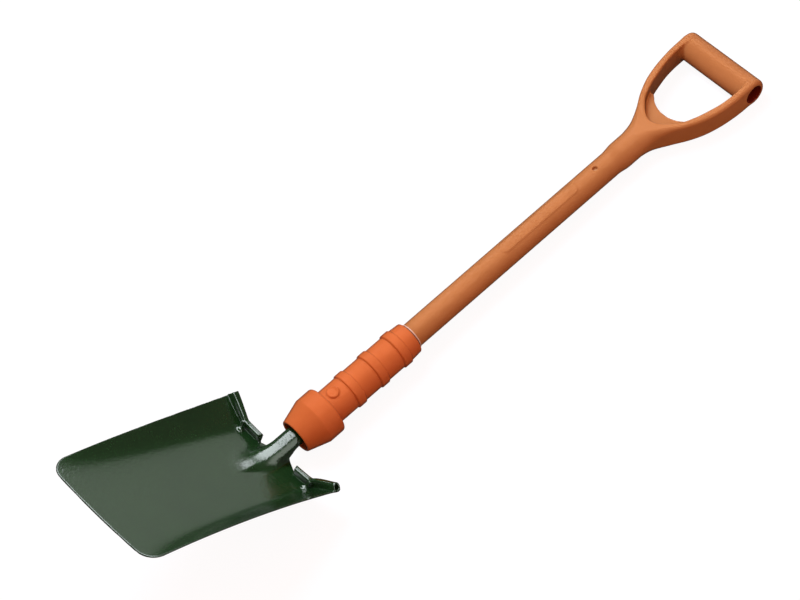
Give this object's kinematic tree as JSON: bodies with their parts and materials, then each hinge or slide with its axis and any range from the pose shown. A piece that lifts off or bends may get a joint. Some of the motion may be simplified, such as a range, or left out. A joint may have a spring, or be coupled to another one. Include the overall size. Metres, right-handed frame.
{
  "type": "insulated square-mouth shovel",
  "caption": "Long square-mouth shovel with rolled foot treads, an orange insulating boot and a moulded D handle.",
  "frame": {"origin": "centre of the bore that runs through the grip's cross bar, on the shaft's axis", "axes": "+Y along the shaft from the blade towards the grip, +Z out of the blade's front face (up when the shovel lies on its back), +X across the blade"},
  "size_m": [0.2072, 1.064, 0.209],
  "materials": {
    "coated_steel": "glossy green hammer-textured powder coat",
    "boot_rubber": "satin red-orange moulded polymer",
    "pale_seal": "matt off-white sealant",
    "rivet_steel": "plain steel",
    "handle_plastic": "satin tan-orange moulded polymer",
    "glass_fibre": "pultruded glass-fibre tube",
    "plug_plastic": "plain moulded plug"
  },
  "bodies": {
    "root": {"blade_head": "coated_steel", "insulating_boot": "boot_rubber", "boot_seal_ring": "pale_seal", "socket_rivet": "rivet_steel", "handle_moulding": "handle_plastic", "core_tube": "glass_fibre", "core_plug_lower": "plug_plastic", "core_plug_upper": "plug_plastic"}
  },
  "joints": []
}
